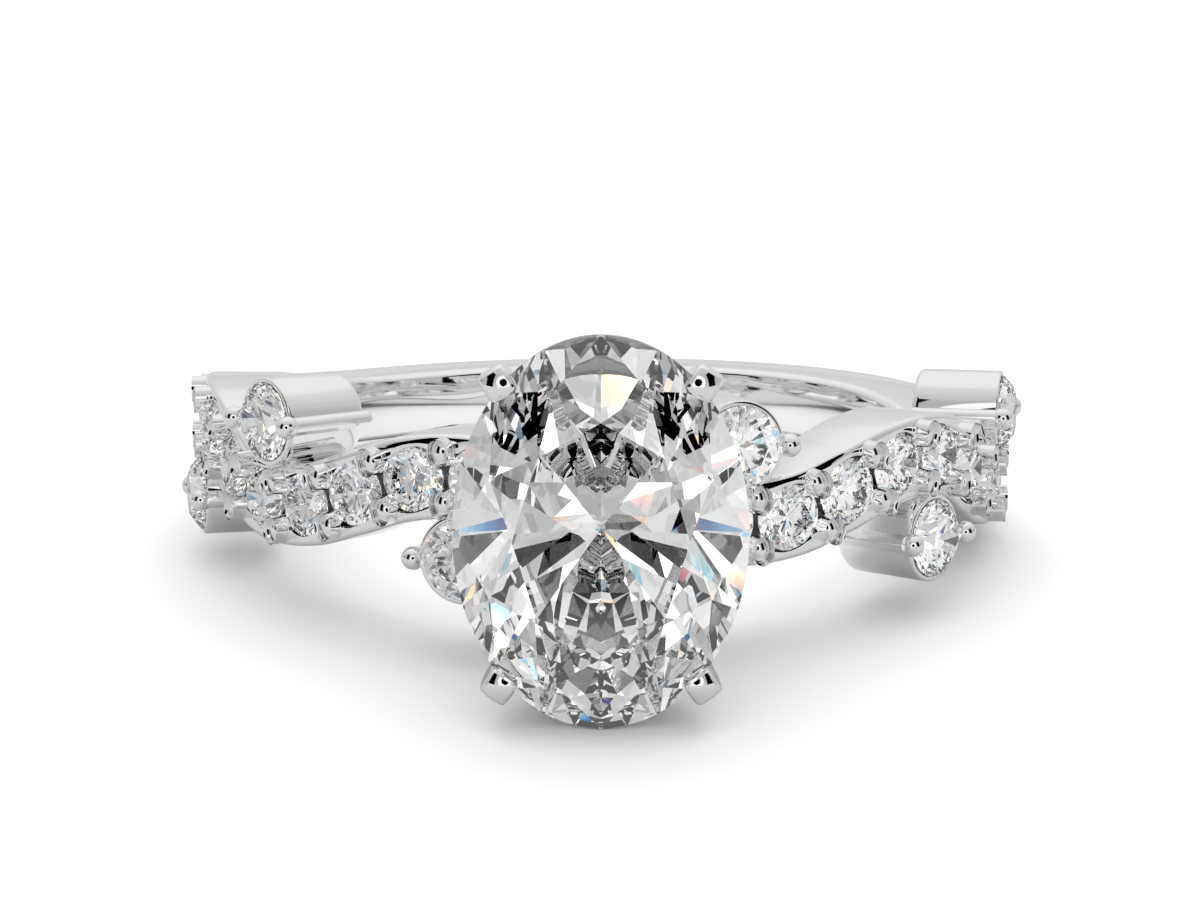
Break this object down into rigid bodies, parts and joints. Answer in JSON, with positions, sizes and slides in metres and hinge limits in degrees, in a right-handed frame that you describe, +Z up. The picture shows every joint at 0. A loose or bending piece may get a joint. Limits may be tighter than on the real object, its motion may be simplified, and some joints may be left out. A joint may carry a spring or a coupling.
{
  "type": "twisted shank ring",
  "caption": "Finger ring with a raised oval centre stone held by claws, on a winding strand of small round stones with cupped side stones, which runs into a plain polished band",
  "frame": {"origin": "centre of the finger hole, on its axis and midway along it", "axes": "+Z up as the ring lies on its side, -Y towards the centre stone, +X to the right of the centre stone seen from the front; the finger hole's axis leans back from +Z by the angle at which the ring lies"},
  "size_m": [0.022, 0.0253, 0.0086],
  "materials": {
    "white_gold": "mirror polished",
    "center_diamond": "cut and polished",
    "side_diamond": "cut and polished"
  },
  "bodies": {
    "root": {"mounting": "white_gold", "center_stone": "center_diamond", "right_cupped_stone_1": "side_diamond", "right_cupped_stone_2": "side_diamond", "right_cupped_stone_3": "side_diamond", "left_cupped_stone_1": "side_diamond", "left_cupped_stone_2": "side_diamond", "left_cupped_stone_3": "side_diamond", "right_small_stone_1": "side_diamond", "right_small_stone_2": "side_diamond", "right_small_stone_3": "side_diamond", "right_small_stone_4": "side_diamond", "right_small_stone_5": "side_diamond", "right_small_stone_6": "side_diamond", "right_small_stone_7": "side_diamond", "right_small_stone_8": "side_diamond", "right_small_stone_9": "side_diamond", "left_small_stone_1": "side_diamond", "left_small_stone_2": "side_diamond", "left_small_stone_3": "side_diamond", "left_small_stone_4": "side_diamond", "left_small_stone_5": "side_diamond", "left_small_stone_6": "side_diamond", "left_small_stone_7": "side_diamond", "left_small_stone_8": "side_diamond", "left_small_stone_9": "side_diamond"}
  },
  "joints": []
}
